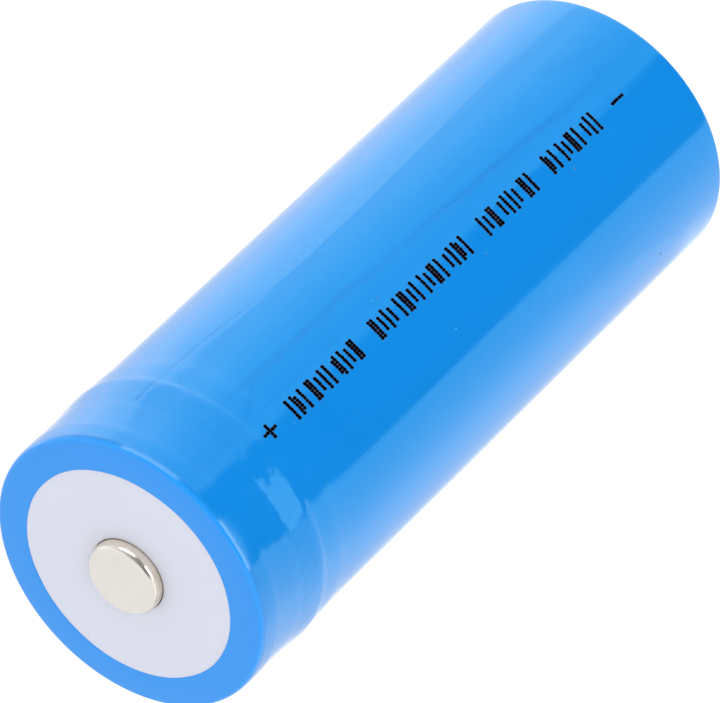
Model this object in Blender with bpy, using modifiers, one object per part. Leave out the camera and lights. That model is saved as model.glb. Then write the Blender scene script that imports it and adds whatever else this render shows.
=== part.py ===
# Cylindrical lithium-ion cell, 26650 size, with a protection puck and a
# button contact under one shrink sleeve.
#
# The cell lies on its side.  Every piece is modelled upright about the local
# Z axis, the negative end at Z = 0 and the positive end up, and is parented to
# one empty that lays the axis along world Y with the button towards -Y.
# Units: metres.  The dimensions below are in millimetres, times MM.

import bpy
import bmesh
import math
from mathutils import Matrix, Vector

for old in list(bpy.data.objects):
    bpy.data.objects.remove(old, do_unlink=True)

MM = 0.001

# ---------------------------------------------------------------- dimensions
SEG = 40                  # sides of every coaxial turned piece
SEG_BUTTON = 32           # sides of the small button

# shrink sleeve
SLEEVE_LEN = 70.80        # fold to fold
SLEEVE_WALL = 0.10
BODY_R = 13.10            # over the plain can
RIM_R = 13.20             # over the flange of the board carrier
WAIST_R = 13.13           # over the plain part of the carrier
BULGE_R = 13.33           # over the crimped shoulder of the can
BAND_R = 13.20            # over the bead groove, bridged by the band
FRONT_FILLET = 0.90
REAR_FILLET = 0.50
FRONT_OPENING_R = 10.10
REAR_OPENING_R = 10.30

# joint band under the sleeve
BAND_GAP = 0.03
BAND_WALL = 0.06

# steel can
CAN_R = 12.93
CAN_WALL = 0.30
CAN_BOTTOM = 0.15         # edge zone of the bottom, just inside the rear fold
PAD_R = 9.90              # raised flat pad of the bottom, flush with the fold
CAN_FLOOR = 0.50          # inside floor of the can
SHOULDER_R = 13.08
LIP_TOP = 64.75
LIP_UNDER = 64.40
LIP_R = 10.60
BEAD_MID = 60.90
BEAD_R = 11.60            # outside bottom of the bead groove

# header stack, from the roll outwards
PLATE = (61.35, 61.85)
VENT_INSULATOR = (61.90, 62.30)
VENT_RIM = (62.35, 62.75)
PTC = (62.80, 63.30)
CAP_FLANGE = (63.35, 63.90)
CAP_TOP = 65.15
STACK_R = 12.00
DOME_R = 5.90
SCORE_GAP = 0.10          # the scored line between rim and dome

# protection puck
PAPER = (64.80, 64.95)
CARRIER = (65.00, 69.85)
BOARD = (68.90, 69.85)
BOARD_R = 12.35
DISC = (70.22, 70.65)
DISC_R = 12.40
DISC_HOLE_R = 3.56
BUTTON_R = 3.43
BUTTON_TOP = 71.85
BUTTON_FILLET = 0.42
BUTTON_SHEET = 0.25
BUTTON_FLANGE = (69.90, 70.15)
BUTTON_FLANGE_R = 5.20

# wound roll, drawn with few thick turns
ROLL_R0 = 2.90            # mid radius of the first layer
ROLL_PITCH = 1.90         # growth per turn
ROLL_TURNS = 4
ROLL_SIDES = 20           # samples per turn
ELECTRODE_T = 0.34
SEPARATOR_T = 0.20
ELECTRODE_Z = (2.20, 57.20)
SEPARATOR_Z = (1.80, 57.60)
TAPE_R = 12.30
TAPE_T = 0.12

UPPER_INSULATOR = (58.30, 58.60)
LOWER_INSULATOR = (1.05, 1.35)
INSULATOR_R = 12.30
PIN_R = 1.90
PIN_T = 0.30

# the assembly in the world: lying on Z = 0, centred on Y
AXIS_HEIGHT = BULGE_R
AXIS_START_Y = BUTTON_TOP / 2.0

# -------------------------------------------------------------- collections
parts = bpy.data.collections.new("cylindrical_battery_cell")
cutters = bpy.data.collections.new("cutters")
bpy.context.scene.collection.children.link(parts)
bpy.context.scene.collection.children.link(cutters)

cell_axis = bpy.data.objects.new("cell_axis", None)
parts.objects.link(cell_axis)
cell_axis.location = (0.0, AXIS_START_Y * MM, AXIS_HEIGHT * MM)
cell_axis.rotation_euler = (math.radians(90.0), 0.0, 0.0)


# ------------------------------------------------------------------ helpers
def material(name, color, roughness, metallic):
    mat = bpy.data.materials.new(name)
    mat.use_nodes = True
    bsdf = mat.node_tree.nodes["Principled BSDF"]
    bsdf.inputs["Base Color"].default_value = (color[0], color[1], color[2], 1.0)
    bsdf.inputs["Roughness"].default_value = roughness
    bsdf.inputs["Metallic"].default_value = metallic
    mat.diffuse_color = (color[0], color[1], color[2], 1.0)
    return mat


def place(obj, collection=parts):
    for c in list(obj.users_collection):
        c.objects.unlink(obj)
    collection.objects.link(obj)
    obj.parent = cell_axis
    return obj


def arc(cx, cz, r, start_deg, end_deg, steps):
    """Points on an arc in the profile plane, both ends included."""
    out = []
    for i in range(steps + 1):
        a = math.radians(start_deg + (end_deg - start_deg) * i / steps)
        out.append((cx + r * math.cos(a), cz + r * math.sin(a)))
    return out


def turned(name, profile, sides=SEG):
    """A profile in millimetres, (radius, height), turned about local Z.

    A profile that starts and ends on the axis is left open; any other is a
    closed ring section.  The outer side is made to run down.
    """
    on_axis = abs(profile[0][0]) < 1e-9 and abs(profile[-1][0]) < 1e-9
    area = 0.0
    n = len(profile)
    for i in range(n):
        x0, z0 = profile[i]
        x1, z1 = profile[(i + 1) % n]
        area += x0 * z1 - x1 * z0
    pts = list(profile) if area < 0.0 else list(reversed(profile))
    mesh = bpy.data.meshes.new(name)
    verts = [(x * MM, 0.0, z * MM) for x, z in pts]
    edges = [(i, i + 1) for i in range(n - 1)]
    if not on_axis:
        edges.append((n - 1, 0))
    mesh.from_pydata(verts, edges, [])
    obj = bpy.data.objects.new(name, mesh)
    place(obj)
    mod = obj.modifiers.new("turn", 'SCREW')
    mod.axis = 'Z'
    mod.angle = math.radians(360.0)
    mod.steps = sides
    mod.render_steps = sides
    mod.use_merge_vertices = True
    mod.merge_threshold = 0.00001
    mod.use_smooth_shade = True
    return obj


def ring(name, r_in, r_out, z0, z1, sides=SEG):
    return turned(name, [(r_in, z1), (r_out, z1), (r_out, z0), (r_in, z0)], sides)


def disc(name, r, z0, z1, sides=SEG):
    return turned(name, [(0.0, z1), (r, z1), (r, z0), (0.0, z0)], sides)


def strip(name, path, width, thickness, y_mid=0.0, turn_deg=0.0):
    """A flat metal strip that follows a path in the local XZ plane."""
    mesh = bpy.data.meshes.new(name)
    bm = bmesh.new()
    rows = []
    for x, z in path:
        a = bm.verts.new((x * MM, (y_mid - width / 2.0) * MM, z * MM))
        b = bm.verts.new((x * MM, (y_mid + width / 2.0) * MM, z * MM))
        rows.append((a, b))
    for (a0, b0), (a1, b1) in zip(rows[:-1], rows[1:]):
        bm.faces.new((a0, a1, b1, b0))
    bmesh.ops.recalc_face_normals(bm, faces=bm.faces)
    bm.to_mesh(mesh)
    bm.free()
    obj = bpy.data.objects.new(name, mesh)
    place(obj)
    obj.rotation_euler = (0.0, 0.0, math.radians(turn_deg))
    mod = obj.modifiers.new("sheet", 'SOLIDIFY')
    mod.thickness = thickness * MM
    mod.offset = 0.0
    mod.use_even_offset = True
    return obj


def spiral(name, r_mid, thickness, z0, z1):
    """One wound layer: a spiral surface given its thickness."""
    mesh = bpy.data.meshes.new(name)
    bm = bmesh.new()
    rows = []
    for i in range(ROLL_TURNS * ROLL_SIDES + 1):
        a = 2.0 * math.pi * i / ROLL_SIDES
        r = r_mid + ROLL_PITCH * i / ROLL_SIDES
        x, y = r * math.cos(a), r * math.sin(a)
        rows.append((bm.verts.new((x * MM, y * MM, z0 * MM)),
                     bm.verts.new((x * MM, y * MM, z1 * MM))))
    for (a0, b0), (a1, b1) in zip(rows[:-1], rows[1:]):
        bm.faces.new((a0, a1, b1, b0))
    bm.to_mesh(mesh)
    bm.free()
    obj = bpy.data.objects.new(name, mesh)
    place(obj)
    mod = obj.modifiers.new("foil", 'SOLIDIFY')
    mod.thickness = thickness * MM
    mod.offset = 0.0
    mod.use_even_offset = True
    return obj


def chip(name, size, at, turn_deg=0.0, edge=0.10):
    """A small component body with softened edges; at is its centre."""
    mesh = bpy.data.meshes.new(name)
    bm = bmesh.new()
    bmesh.ops.create_cube(bm, size=1.0)
    bmesh.ops.scale(bm, vec=(size[0] * MM, size[1] * MM, size[2] * MM), verts=bm.verts)
    bm.to_mesh(mesh)
    bm.free()
    obj = bpy.data.objects.new(name, mesh)
    place(obj)
    obj.location = (at[0] * MM, at[1] * MM, at[2] * MM)
    obj.rotation_euler = (0.0, 0.0, math.radians(turn_deg))
    mod = obj.modifiers.new("edges", 'BEVEL')
    mod.width = edge * MM
    mod.segments = 1
    return obj


def cutter_mesh(name, bm):
    mesh = bpy.data.meshes.new(name)
    bm.to_mesh(mesh)
    bm.free()
    obj = bpy.data.objects.new(name, mesh)
    place(obj, cutters)
    obj.hide_render = True
    obj.display_type = 'WIRE'
    return obj


def box_cutter(name, low, high):
    bm = bmesh.new()
    bmesh.ops.create_cube(bm, size=1.0)
    size = [(h - l) * MM for l, h in zip(low, high)]
    mid = [(h + l) * 0.5 * MM for l, h in zip(low, high)]
    bmesh.ops.scale(bm, vec=size, verts=bm.verts)
    bmesh.ops.translate(bm, vec=mid, verts=bm.verts)
    return cutter_mesh(name, bm)


def drill_cutter(name, count, pitch_r, hole_r, z0, z1, start_deg=0.0, sides=16):
    """A circle of round holes along local Z, as one cutter."""
    bm = bmesh.new()
    for i in range(count):
        a = math.radians(start_deg) + 2.0 * math.pi * i / count
        where = Matrix.Translation(Vector((pitch_r * math.cos(a) * MM,
                                           pitch_r * math.sin(a) * MM,
                                           (z0 + z1) * 0.5 * MM)))
        bmesh.ops.create_cone(bm, cap_ends=True, segments=sides,
                              radius1=hole_r * MM, radius2=hole_r * MM,
                              depth=(z1 - z0) * MM, matrix=where)
    return cutter_mesh(name, bm)


def cut(obj, tool):
    mod = obj.modifiers.new("cut_" + tool.name, 'BOOLEAN')
    mod.operation = 'DIFFERENCE'
    mod.solver = 'EXACT'
    mod.object = tool


# -------------------------------------------------------------- shrink sleeve
def side_radius_points(offset):
    """The sleeve's side from the front fold to the plain body."""
    knots = [
        (RIM_R, 69.90), (RIM_R, 68.80),
        (WAIST_R, 68.20), (WAIST_R, 65.80),
        (BULGE_R - 0.08, 63.40), (BULGE_R, 62.60), (BULGE_R, 61.80),
        (BAND_R, 60.40), (BAND_R, 58.60),
        (BODY_R, 57.20),
    ]
    return [(r - offset, z) for r, z in knots]


def sleeve_profile():
    w = SLEEVE_WALL
    front_c = (RIM_R - FRONT_FILLET, SLEEVE_LEN - FRONT_FILLET)
    rear_c = (BODY_R - REAR_FILLET, REAR_FILLET)
    outer = [(FRONT_OPENING_R, SLEEVE_LEN)]
    outer += arc(front_c[0], front_c[1], FRONT_FILLET, 90, 0, 4)
    outer += side_radius_points(0.0)[1:]
    outer += arc(rear_c[0], rear_c[1], REAR_FILLET, 0, -90, 3)
    outer += [(REAR_OPENING_R, 0.0)]
    inner = [(REAR_OPENING_R, w)]
    inner += arc(rear_c[0], rear_c[1], REAR_FILLET - w, -90, 0, 3)
    inner += list(reversed(side_radius_points(w)[1:]))
    inner += arc(front_c[0], front_c[1], FRONT_FILLET - w, 0, 90, 4)
    inner += [(FRONT_OPENING_R, SLEEVE_LEN - w)]
    return outer + inner


outer_sleeve = turned("outer_sleeve", sleeve_profile())

# ----------------------------------------------- band that joins puck and can
band_out = SLEEVE_WALL + BAND_GAP
band_in = band_out + BAND_WALL
band_side = [(RIM_R, 69.50), (RIM_R, 68.80), (WAIST_R, 68.20), (WAIST_R, 65.80),
             (BULGE_R - 0.08, 63.40), (BULGE_R, 62.60), (BULGE_R, 61.80),
             (BAND_R, 60.40), (BAND_R, 58.60), (BAND_R - 0.05, 57.90)]
joint_band = turned("joint_band",
                    [(r - band_out, z) for r, z in band_side]
                    + [(r - band_in, z) for r, z in reversed(band_side)])

# ------------------------------------------------------------------ steel can
bead = BEAD_MID
can_outer = [
    (LIP_R, LIP_TOP), (12.30, LIP_TOP), (12.75, 64.50), (12.95, 63.90),
    (SHOULDER_R, 62.80), (SHOULDER_R, 62.10), (12.70, bead + 0.75),
    (BEAD_R + 0.25, bead + 0.42), (BEAD_R, bead), (BEAD_R + 0.25, bead - 0.42),
    (12.70, bead - 0.85), (CAN_R, bead - 1.45),
    (CAN_R, 0.60), (CAN_R - 0.13, 0.28), (CAN_R - 0.45, CAN_BOTTOM),
    (PAD_R + 0.16, CAN_BOTTOM), (PAD_R, 0.0), (0.0, 0.0),
]
can_inner = [
    (0.0, CAN_FLOOR), (12.30, CAN_FLOOR), (CAN_R - CAN_WALL, 0.85),
    (CAN_R - CAN_WALL, bead - 1.58), (12.40, bead - 1.10),
    (BEAD_R, bead - 0.66), (BEAD_R - 0.30, bead), (BEAD_R, bead + 0.66),
    (12.10, 61.74), (12.66, 62.02), (12.76, 62.40), (12.68, 63.90),
    (12.38, LIP_UNDER), (LIP_R, LIP_UNDER),
]
steel_can = turned("steel_can", can_inner + can_outer)

# --------------------------------------------------------------- header parts
header_gasket = turned("header_gasket", [
    (10.90, 64.32), (12.25, 64.32), (12.55, 63.90), (12.55, 62.34), (12.20, 61.90),
    (10.90, 61.90), (10.90, 62.30), (12.08, 62.30), (12.08, 63.95), (10.90, 63.95),
])

top_cap = turned("top_cap", [
    (0.0, CAP_TOP), (6.30, CAP_TOP), (6.55, CAP_TOP - 0.12), (7.30, CAP_FLANGE[1]),
    (STACK_R, CAP_FLANGE[1]), (STACK_R, CAP_FLANGE[0]), (6.95, CAP_FLANGE[0]),
    (6.15, 64.70), (0.0, 64.70),
])
cut(top_cap, drill_cutter("cap_vent_holes", 4, 8.90, 0.90, 63.0, 64.3, 45.0))

ptc_ring = ring("ptc_ring", 7.60, STACK_R, *PTC)

vent_disc_rim = ring("vent_disc_rim", DOME_R + SCORE_GAP, STACK_R, *VENT_RIM)
vent_disc_dome = turned("vent_disc_dome", [
    (0.0, 62.12), (1.60, 62.12), (4.60, 62.62), (DOME_R, 62.70),
    (DOME_R, 62.42), (4.70, 62.36), (1.70, 61.90), (0.0, 61.90),
])

vent_insulator_ring = ring("vent_insulator_ring", 6.60, 9.80, *VENT_INSULATOR)

vent_contact_plate = disc("vent_contact_plate", 9.60, *PLATE)
cut(vent_contact_plate, drill_cutter("plate_gas_holes", 4, 5.60, 0.80, 61.0, 62.2, 45.0))

positive_tab = strip("positive_tab",
                     [(6.00, 57.90), (6.00, 60.30), (5.70, 60.95), (5.10, 61.22), (-2.60, 61.22)],
                     4.0, 0.14)

upper_insulator = ring("upper_insulator", 2.20, INSULATOR_R, *UPPER_INSULATOR)
cut(upper_insulator, box_cutter("upper_tab_slot", (5.40, -2.60, 58.0), (6.60, 2.60, 59.0)))
cut(upper_insulator, drill_cutter("upper_gas_holes", 3, 8.80, 1.00, 58.0, 59.0, 60.0))

# ----------------------------------------------------------------- wound roll
layer = ROLL_PITCH / 4.0
separator_inner = spiral("separator_inner", ROLL_R0, SEPARATOR_T, *SEPARATOR_Z)
anode_strip = spiral("anode_strip", ROLL_R0 + layer, ELECTRODE_T, *ELECTRODE_Z)
separator_outer = spiral("separator_outer", ROLL_R0 + 2 * layer, SEPARATOR_T, *SEPARATOR_Z)
cathode_strip = spiral("cathode_strip", ROLL_R0 + 3 * layer, ELECTRODE_T, *ELECTRODE_Z)
roll_tape = ring("roll_tape", TAPE_R, TAPE_R + TAPE_T, 4.00, 55.40)

centre_pin = ring("centre_pin", PIN_R - PIN_T, PIN_R, 2.60, 56.80, 20)
cut(centre_pin, box_cutter("pin_slit", (1.20, -0.20, 2.0), (2.40, 0.20, 57.4)))

lower_insulator = ring("lower_insulator", 1.80, INSULATOR_R, *LOWER_INSULATOR)
cut(lower_insulator, box_cutter("lower_tab_slot", (9.80, -2.60, 0.8), (11.00, 2.60, 1.6)))

negative_tab = strip("negative_tab",
                     [(10.40, 1.68), (10.40, 1.00), (10.15, 0.76), (9.80, 0.68), (-2.60, 0.68)],
                     4.0, 0.10)

# ------------------------------------------------------------ protection puck
crimp_insulator_ring = ring("crimp_insulator_ring", 7.90, 12.20, *PAPER)
cut(crimp_insulator_ring, box_cutter("paper_notch", (-13.0, -2.10, 64.6), (-9.90, 2.10, 65.2)))

board_carrier_ring = turned("board_carrier_ring", [
    (12.46, CARRIER[1]), (12.97, CARRIER[1]), (12.97, 68.80), (12.90, 68.20),
    (12.90, CARRIER[0]), (11.40, CARRIER[0]), (11.40, 68.85), (12.46, 68.85),
])

protection_board = disc("protection_board", BOARD_R, *BOARD)
cut(protection_board, drill_cutter("board_vias", 2, 9.40, 0.55, 68.6, 70.2, 20.0, 12))

top_insulator_disc = ring("top_insulator_disc", DISC_HOLE_R, DISC_R, *DISC)

button_fillet = arc(BUTTON_R - BUTTON_FILLET, BUTTON_TOP - BUTTON_FILLET, BUTTON_FILLET, 90, 0, 4)
inner_r = BUTTON_R - BUTTON_SHEET
positive_button = turned("positive_button",
                         [(0.0, BUTTON_TOP)] + button_fillet
                         + [(BUTTON_R, BUTTON_FLANGE[1]), (BUTTON_FLANGE_R, BUTTON_FLANGE[1]),
                            (BUTTON_FLANGE_R, BUTTON_FLANGE[0]), (inner_r, BUTTON_FLANGE[0]),
                            (inner_r, BUTTON_TOP - BUTTON_FILLET),
                            (inner_r - 0.20, BUTTON_TOP - BUTTON_SHEET),
                            (0.0, BUTTON_TOP - BUTTON_SHEET)],
                         SEG_BUTTON)

positive_link_tab = strip("positive_link_tab",
                          [(-3.20, 65.28), (3.20, 65.28), (3.80, 65.50), (4.00, 66.00),
                           (4.00, 68.10), (3.80, 68.60), (3.20, 68.79), (-1.80, 68.79)],
                          4.0, 0.14)
negative_link_tab = strip("negative_link_tab",
                          [(-12.00, 64.86), (-10.80, 64.86), (-10.40, 65.20),
                           (-10.40, 68.30), (-10.15, 68.65), (-9.70, 68.79), (-7.60, 68.79)],
                          3.0, 0.12)

under = BOARD[0] - 0.05
control_chip = chip("control_chip", (2.9, 1.6, 1.1), (-2.0, 6.4, under - 0.55))
switch_chip_left = chip("switch_chip_left", (4.4, 3.0, 0.9), (3.4, 6.2, under - 0.45), 0.0)
switch_chip_right = chip("switch_chip_right", (4.4, 3.0, 0.9), (3.4, -6.2, under - 0.45), 0.0)
sense_resistor = chip("sense_resistor", (1.6, 0.8, 0.45), (-5.6, 6.0, under - 0.225), 90.0, 0.06)
filter_resistor = chip("filter_resistor", (1.6, 0.8, 0.45), (-2.2, -6.6, under - 0.225), 0.0, 0.06)
filter_capacitor = chip("filter_capacitor", (1.6, 0.8, 0.8), (-5.4, -5.4, under - 0.4), 45.0, 0.08)

# ------------------------------------------------------------------ materials
finish = {
    "outer_sleeve": ("sleeve_blue", (0.02, 0.27, 0.87), 0.22, 0.0),
    "joint_band": ("band_amber", (0.62, 0.36, 0.06), 0.35, 0.0),
    "steel_can": ("can_nickel_steel", (0.63, 0.62, 0.59), 0.28, 1.0),
    "header_gasket": ("gasket_black", (0.02, 0.02, 0.022), 0.5, 0.0),
    "top_cap": ("cap_nickel_steel", (0.66, 0.65, 0.62), 0.25, 1.0),
    "ptc_ring": ("ptc_dark", (0.10, 0.10, 0.11), 0.45, 0.0),
    "vent_disc_rim": ("vent_rim_aluminium", (0.78, 0.79, 0.80), 0.35, 1.0),
    "vent_disc_dome": ("vent_dome_aluminium", (0.80, 0.81, 0.82), 0.30, 1.0),
    "vent_insulator_ring": ("vent_insulator_white", (0.75, 0.76, 0.74), 0.5, 0.0),
    "vent_contact_plate": ("plate_aluminium", (0.74, 0.75, 0.77), 0.4, 1.0),
    "positive_tab": ("tab_aluminium", (0.80, 0.81, 0.83), 0.35, 1.0),
    "upper_insulator": ("upper_insulator_brown", (0.42, 0.27, 0.13), 0.6, 0.0),
    "separator_inner": ("separator_inner_white", (0.86, 0.87, 0.88), 0.55, 0.0),
    "anode_strip": ("anode_graphite", (0.06, 0.06, 0.065), 0.6, 0.0),
    "separator_outer": ("separator_outer_white", (0.84, 0.85, 0.86), 0.55, 0.0),
    "cathode_strip": ("cathode_black", (0.035, 0.035, 0.04), 0.55, 0.0),
    "roll_tape": ("tape_green", (0.06, 0.32, 0.12), 0.3, 0.0),
    "centre_pin": ("pin_steel", (0.60, 0.60, 0.60), 0.35, 1.0),
    "lower_insulator": ("lower_insulator_brown", (0.40, 0.26, 0.13), 0.6, 0.0),
    "negative_tab": ("tab_nickel", (0.66, 0.64, 0.60), 0.32, 1.0),
    "crimp_insulator_ring": ("barley_paper", (0.55, 0.58, 0.48), 0.8, 0.0),
    "board_carrier_ring": ("carrier_white", (0.80, 0.81, 0.82), 0.45, 0.0),
    "protection_board": ("board_green", (0.02, 0.20, 0.07), 0.4, 0.0),
    "top_insulator_disc": ("disc_white", (0.74, 0.76, 0.88), 0.5, 0.0),
    "positive_button": ("button_nickel", (0.72, 0.70, 0.66), 0.22, 1.0),
    "positive_link_tab": ("link_nickel", (0.66, 0.64, 0.60), 0.32, 1.0),
    "negative_link_tab": ("ground_link_nickel", (0.66, 0.64, 0.60), 0.32, 1.0),
    "control_chip": ("control_chip_black", (0.02, 0.02, 0.02), 0.5, 0.0),
    "switch_chip_left": ("switch_chip_black", (0.02, 0.02, 0.02), 0.5, 0.0),
    "switch_chip_right": ("switch_chip_black_two", (0.02, 0.02, 0.02), 0.5, 0.0),
    "sense_resistor": ("resistor_black", (0.03, 0.03, 0.035), 0.4, 0.0),
    "filter_resistor": ("resistor_black_two", (0.03, 0.03, 0.035), 0.4, 0.0),
    "filter_capacitor": ("capacitor_tan", (0.45, 0.33, 0.20), 0.45, 0.0),
}

# ------------------------------------- settle each piece into a finished mesh
bpy.context.view_layer.update()
depsgraph = bpy.context.evaluated_depsgraph_get()
made = {}
for obj in list(parts.objects):
    if obj.type != 'MESH':
        continue
    made[obj] = bpy.data.meshes.new_from_object(obj.evaluated_get(depsgraph))
for obj, mesh in made.items():
    obj.modifiers.clear()
    obj.data = mesh
    mesh.name = obj.name
    mesh.shade_smooth()
    mesh.set_sharp_from_angle(angle=math.radians(32.0))
    mesh.materials.clear()
    mesh.materials.append(material(*finish[obj.name]))
bpy.context.view_layer.update()
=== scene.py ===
import bpy
import math
import numpy as np
from mathutils import Matrix, Vector


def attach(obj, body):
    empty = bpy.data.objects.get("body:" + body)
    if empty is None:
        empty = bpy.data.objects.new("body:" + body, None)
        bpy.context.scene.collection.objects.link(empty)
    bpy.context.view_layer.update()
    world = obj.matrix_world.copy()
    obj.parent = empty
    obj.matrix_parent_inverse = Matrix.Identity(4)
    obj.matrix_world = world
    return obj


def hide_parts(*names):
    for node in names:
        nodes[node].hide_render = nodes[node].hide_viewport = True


# Looks of the cylindrical cell.  Lengths are in millimetres until they are
# handed to Blender, which takes metres.  A place on the sleeve is given by
#   s      distance behind the front fold, along +Y
#   theta  turn about the cell's axis, 0 at the top (+Z), towards +X
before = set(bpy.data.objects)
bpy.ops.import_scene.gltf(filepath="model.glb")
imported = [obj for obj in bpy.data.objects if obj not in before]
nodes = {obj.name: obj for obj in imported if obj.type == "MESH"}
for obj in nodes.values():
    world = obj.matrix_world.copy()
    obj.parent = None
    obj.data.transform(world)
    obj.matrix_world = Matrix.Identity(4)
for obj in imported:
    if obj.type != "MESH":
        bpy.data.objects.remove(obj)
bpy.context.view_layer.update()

MM = 0.001
Y_FRONT = -34.875          # the front fold, s = 0
AXIS_Z = 13.33
BODY_R = 13.10

scene = bpy.context.scene
scene.view_settings.view_transform = "Standard"
scene.view_settings.look = "None"


# --------------------------------------------------------------- mesh helpers
def new_piece(name, verts, faces, body="cell", stands_for=(), slot=None, mat=None, flat=False):
    mesh = bpy.data.meshes.new(name)
    mesh.from_pydata([tuple(v) for v in verts], [], faces)
    mesh.validate()
    mesh.update()
    if not flat:
        mesh.shade_smooth()
    obj = bpy.data.objects.new(name, mesh)
    scene.collection.objects.link(obj)
    if mat is not None:
        mesh.materials.append(mat)
    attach(obj, body)
    if stands_for:
        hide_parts(*stands_for)
    return obj


def turned(name, rings, sides, shift=None, turns=None, **kw):
    """A closed turned piece.  rings is a closed loop of (r, s) pairs; a ring with
    r = 0 becomes one point.  shift(theta, i, r, s) -> (r, s) arrays for ring i."""
    theta = np.arange(sides) * (2.0 * math.pi / sides) if turns is None else np.asarray(turns)
    sides = len(theta)
    verts, first = [], []
    for i, (r, s) in enumerate(rings):
        first.append(len(verts))
        if r < 1e-9:
            verts.append((0.0, (Y_FRONT + s) * MM, AXIS_Z * MM))
            continue
        rr, ss = np.full(sides, float(r)), np.full(sides, float(s))
        if shift is not None:
            rr, ss = shift(theta, i, rr, ss)
        x = rr * np.sin(theta)
        z = AXIS_Z + rr * np.cos(theta)
        verts.extend(zip(x * MM, (Y_FRONT + ss) * MM, z * MM))
    faces = []
    n = len(rings)
    for i in range(n):
        j = (i + 1) % n
        pi, pj = rings[i][0] < 1e-9, rings[j][0] < 1e-9
        if pi and pj:
            continue
        a, b = first[i], first[j]
        for k in range(sides):
            m = (k + 1) % sides
            if pi:
                faces.append((a, b + k, b + m))
            elif pj:
                faces.append((a + k, b, a + m))
            else:
                faces.append((a + k, b + k, b + m, a + m))
    # outward faces: the signed volume says which way they run
    v = np.array(verts)
    vol = 0.0
    for f in faces[:: max(1, len(faces) // 6000)]:
        p = v[list(f)]
        c = p.mean(0) - np.array([0.0, (Y_FRONT + rings[0][1]) * MM, AXIS_Z * MM])
        nrm = np.zeros(3)
        for q in range(1, len(f) - 1):
            nrm += np.cross(p[q] - p[0], p[q + 1] - p[0])
        vol += float(np.dot(c, nrm))
    if vol < 0.0:
        faces = [tuple(reversed(f)) for f in faces]
    return new_piece(name, verts, faces, **kw)


def arc(cr, cs, radius, a0, a1, steps):
    """Points (r, s) on a circle; angle 0 points outwards, 90 to the front."""
    out = []
    for k in range(steps + 1):
        a = math.radians(a0 + (a1 - a0) * k / steps)
        out.append((cr + radius * math.cos(a), cs - radius * math.sin(a)))
    return out


def smooth_curve(knots, xs, sigma):
    """Straight lines through the knots, rounded over sigma, read at xs."""
    kx, ky = [k[0] for k in knots], [k[1] for k in knots]
    step = 0.02
    grid = np.arange(kx[0] - 6 * sigma, kx[-1] + 6 * sigma, step)
    line = np.interp(grid, kx, ky)
    half = int(4 * sigma / step)
    w = np.exp(-0.5 * (np.arange(-half, half + 1) * step / sigma) ** 2)
    w /= w.sum()
    line = np.convolve(np.pad(line, half, mode="edge"), w, mode="valid")
    return np.interp(xs, grid, line)


def bump(x, mid, width):
    return np.exp(-0.5 * ((x - mid) / width) ** 2)


def step_up(x, a, b):
    t = np.clip((x - a) / (b - a), 0.0, 1.0)
    return t * t * (3.0 - 2.0 * t)


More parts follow.
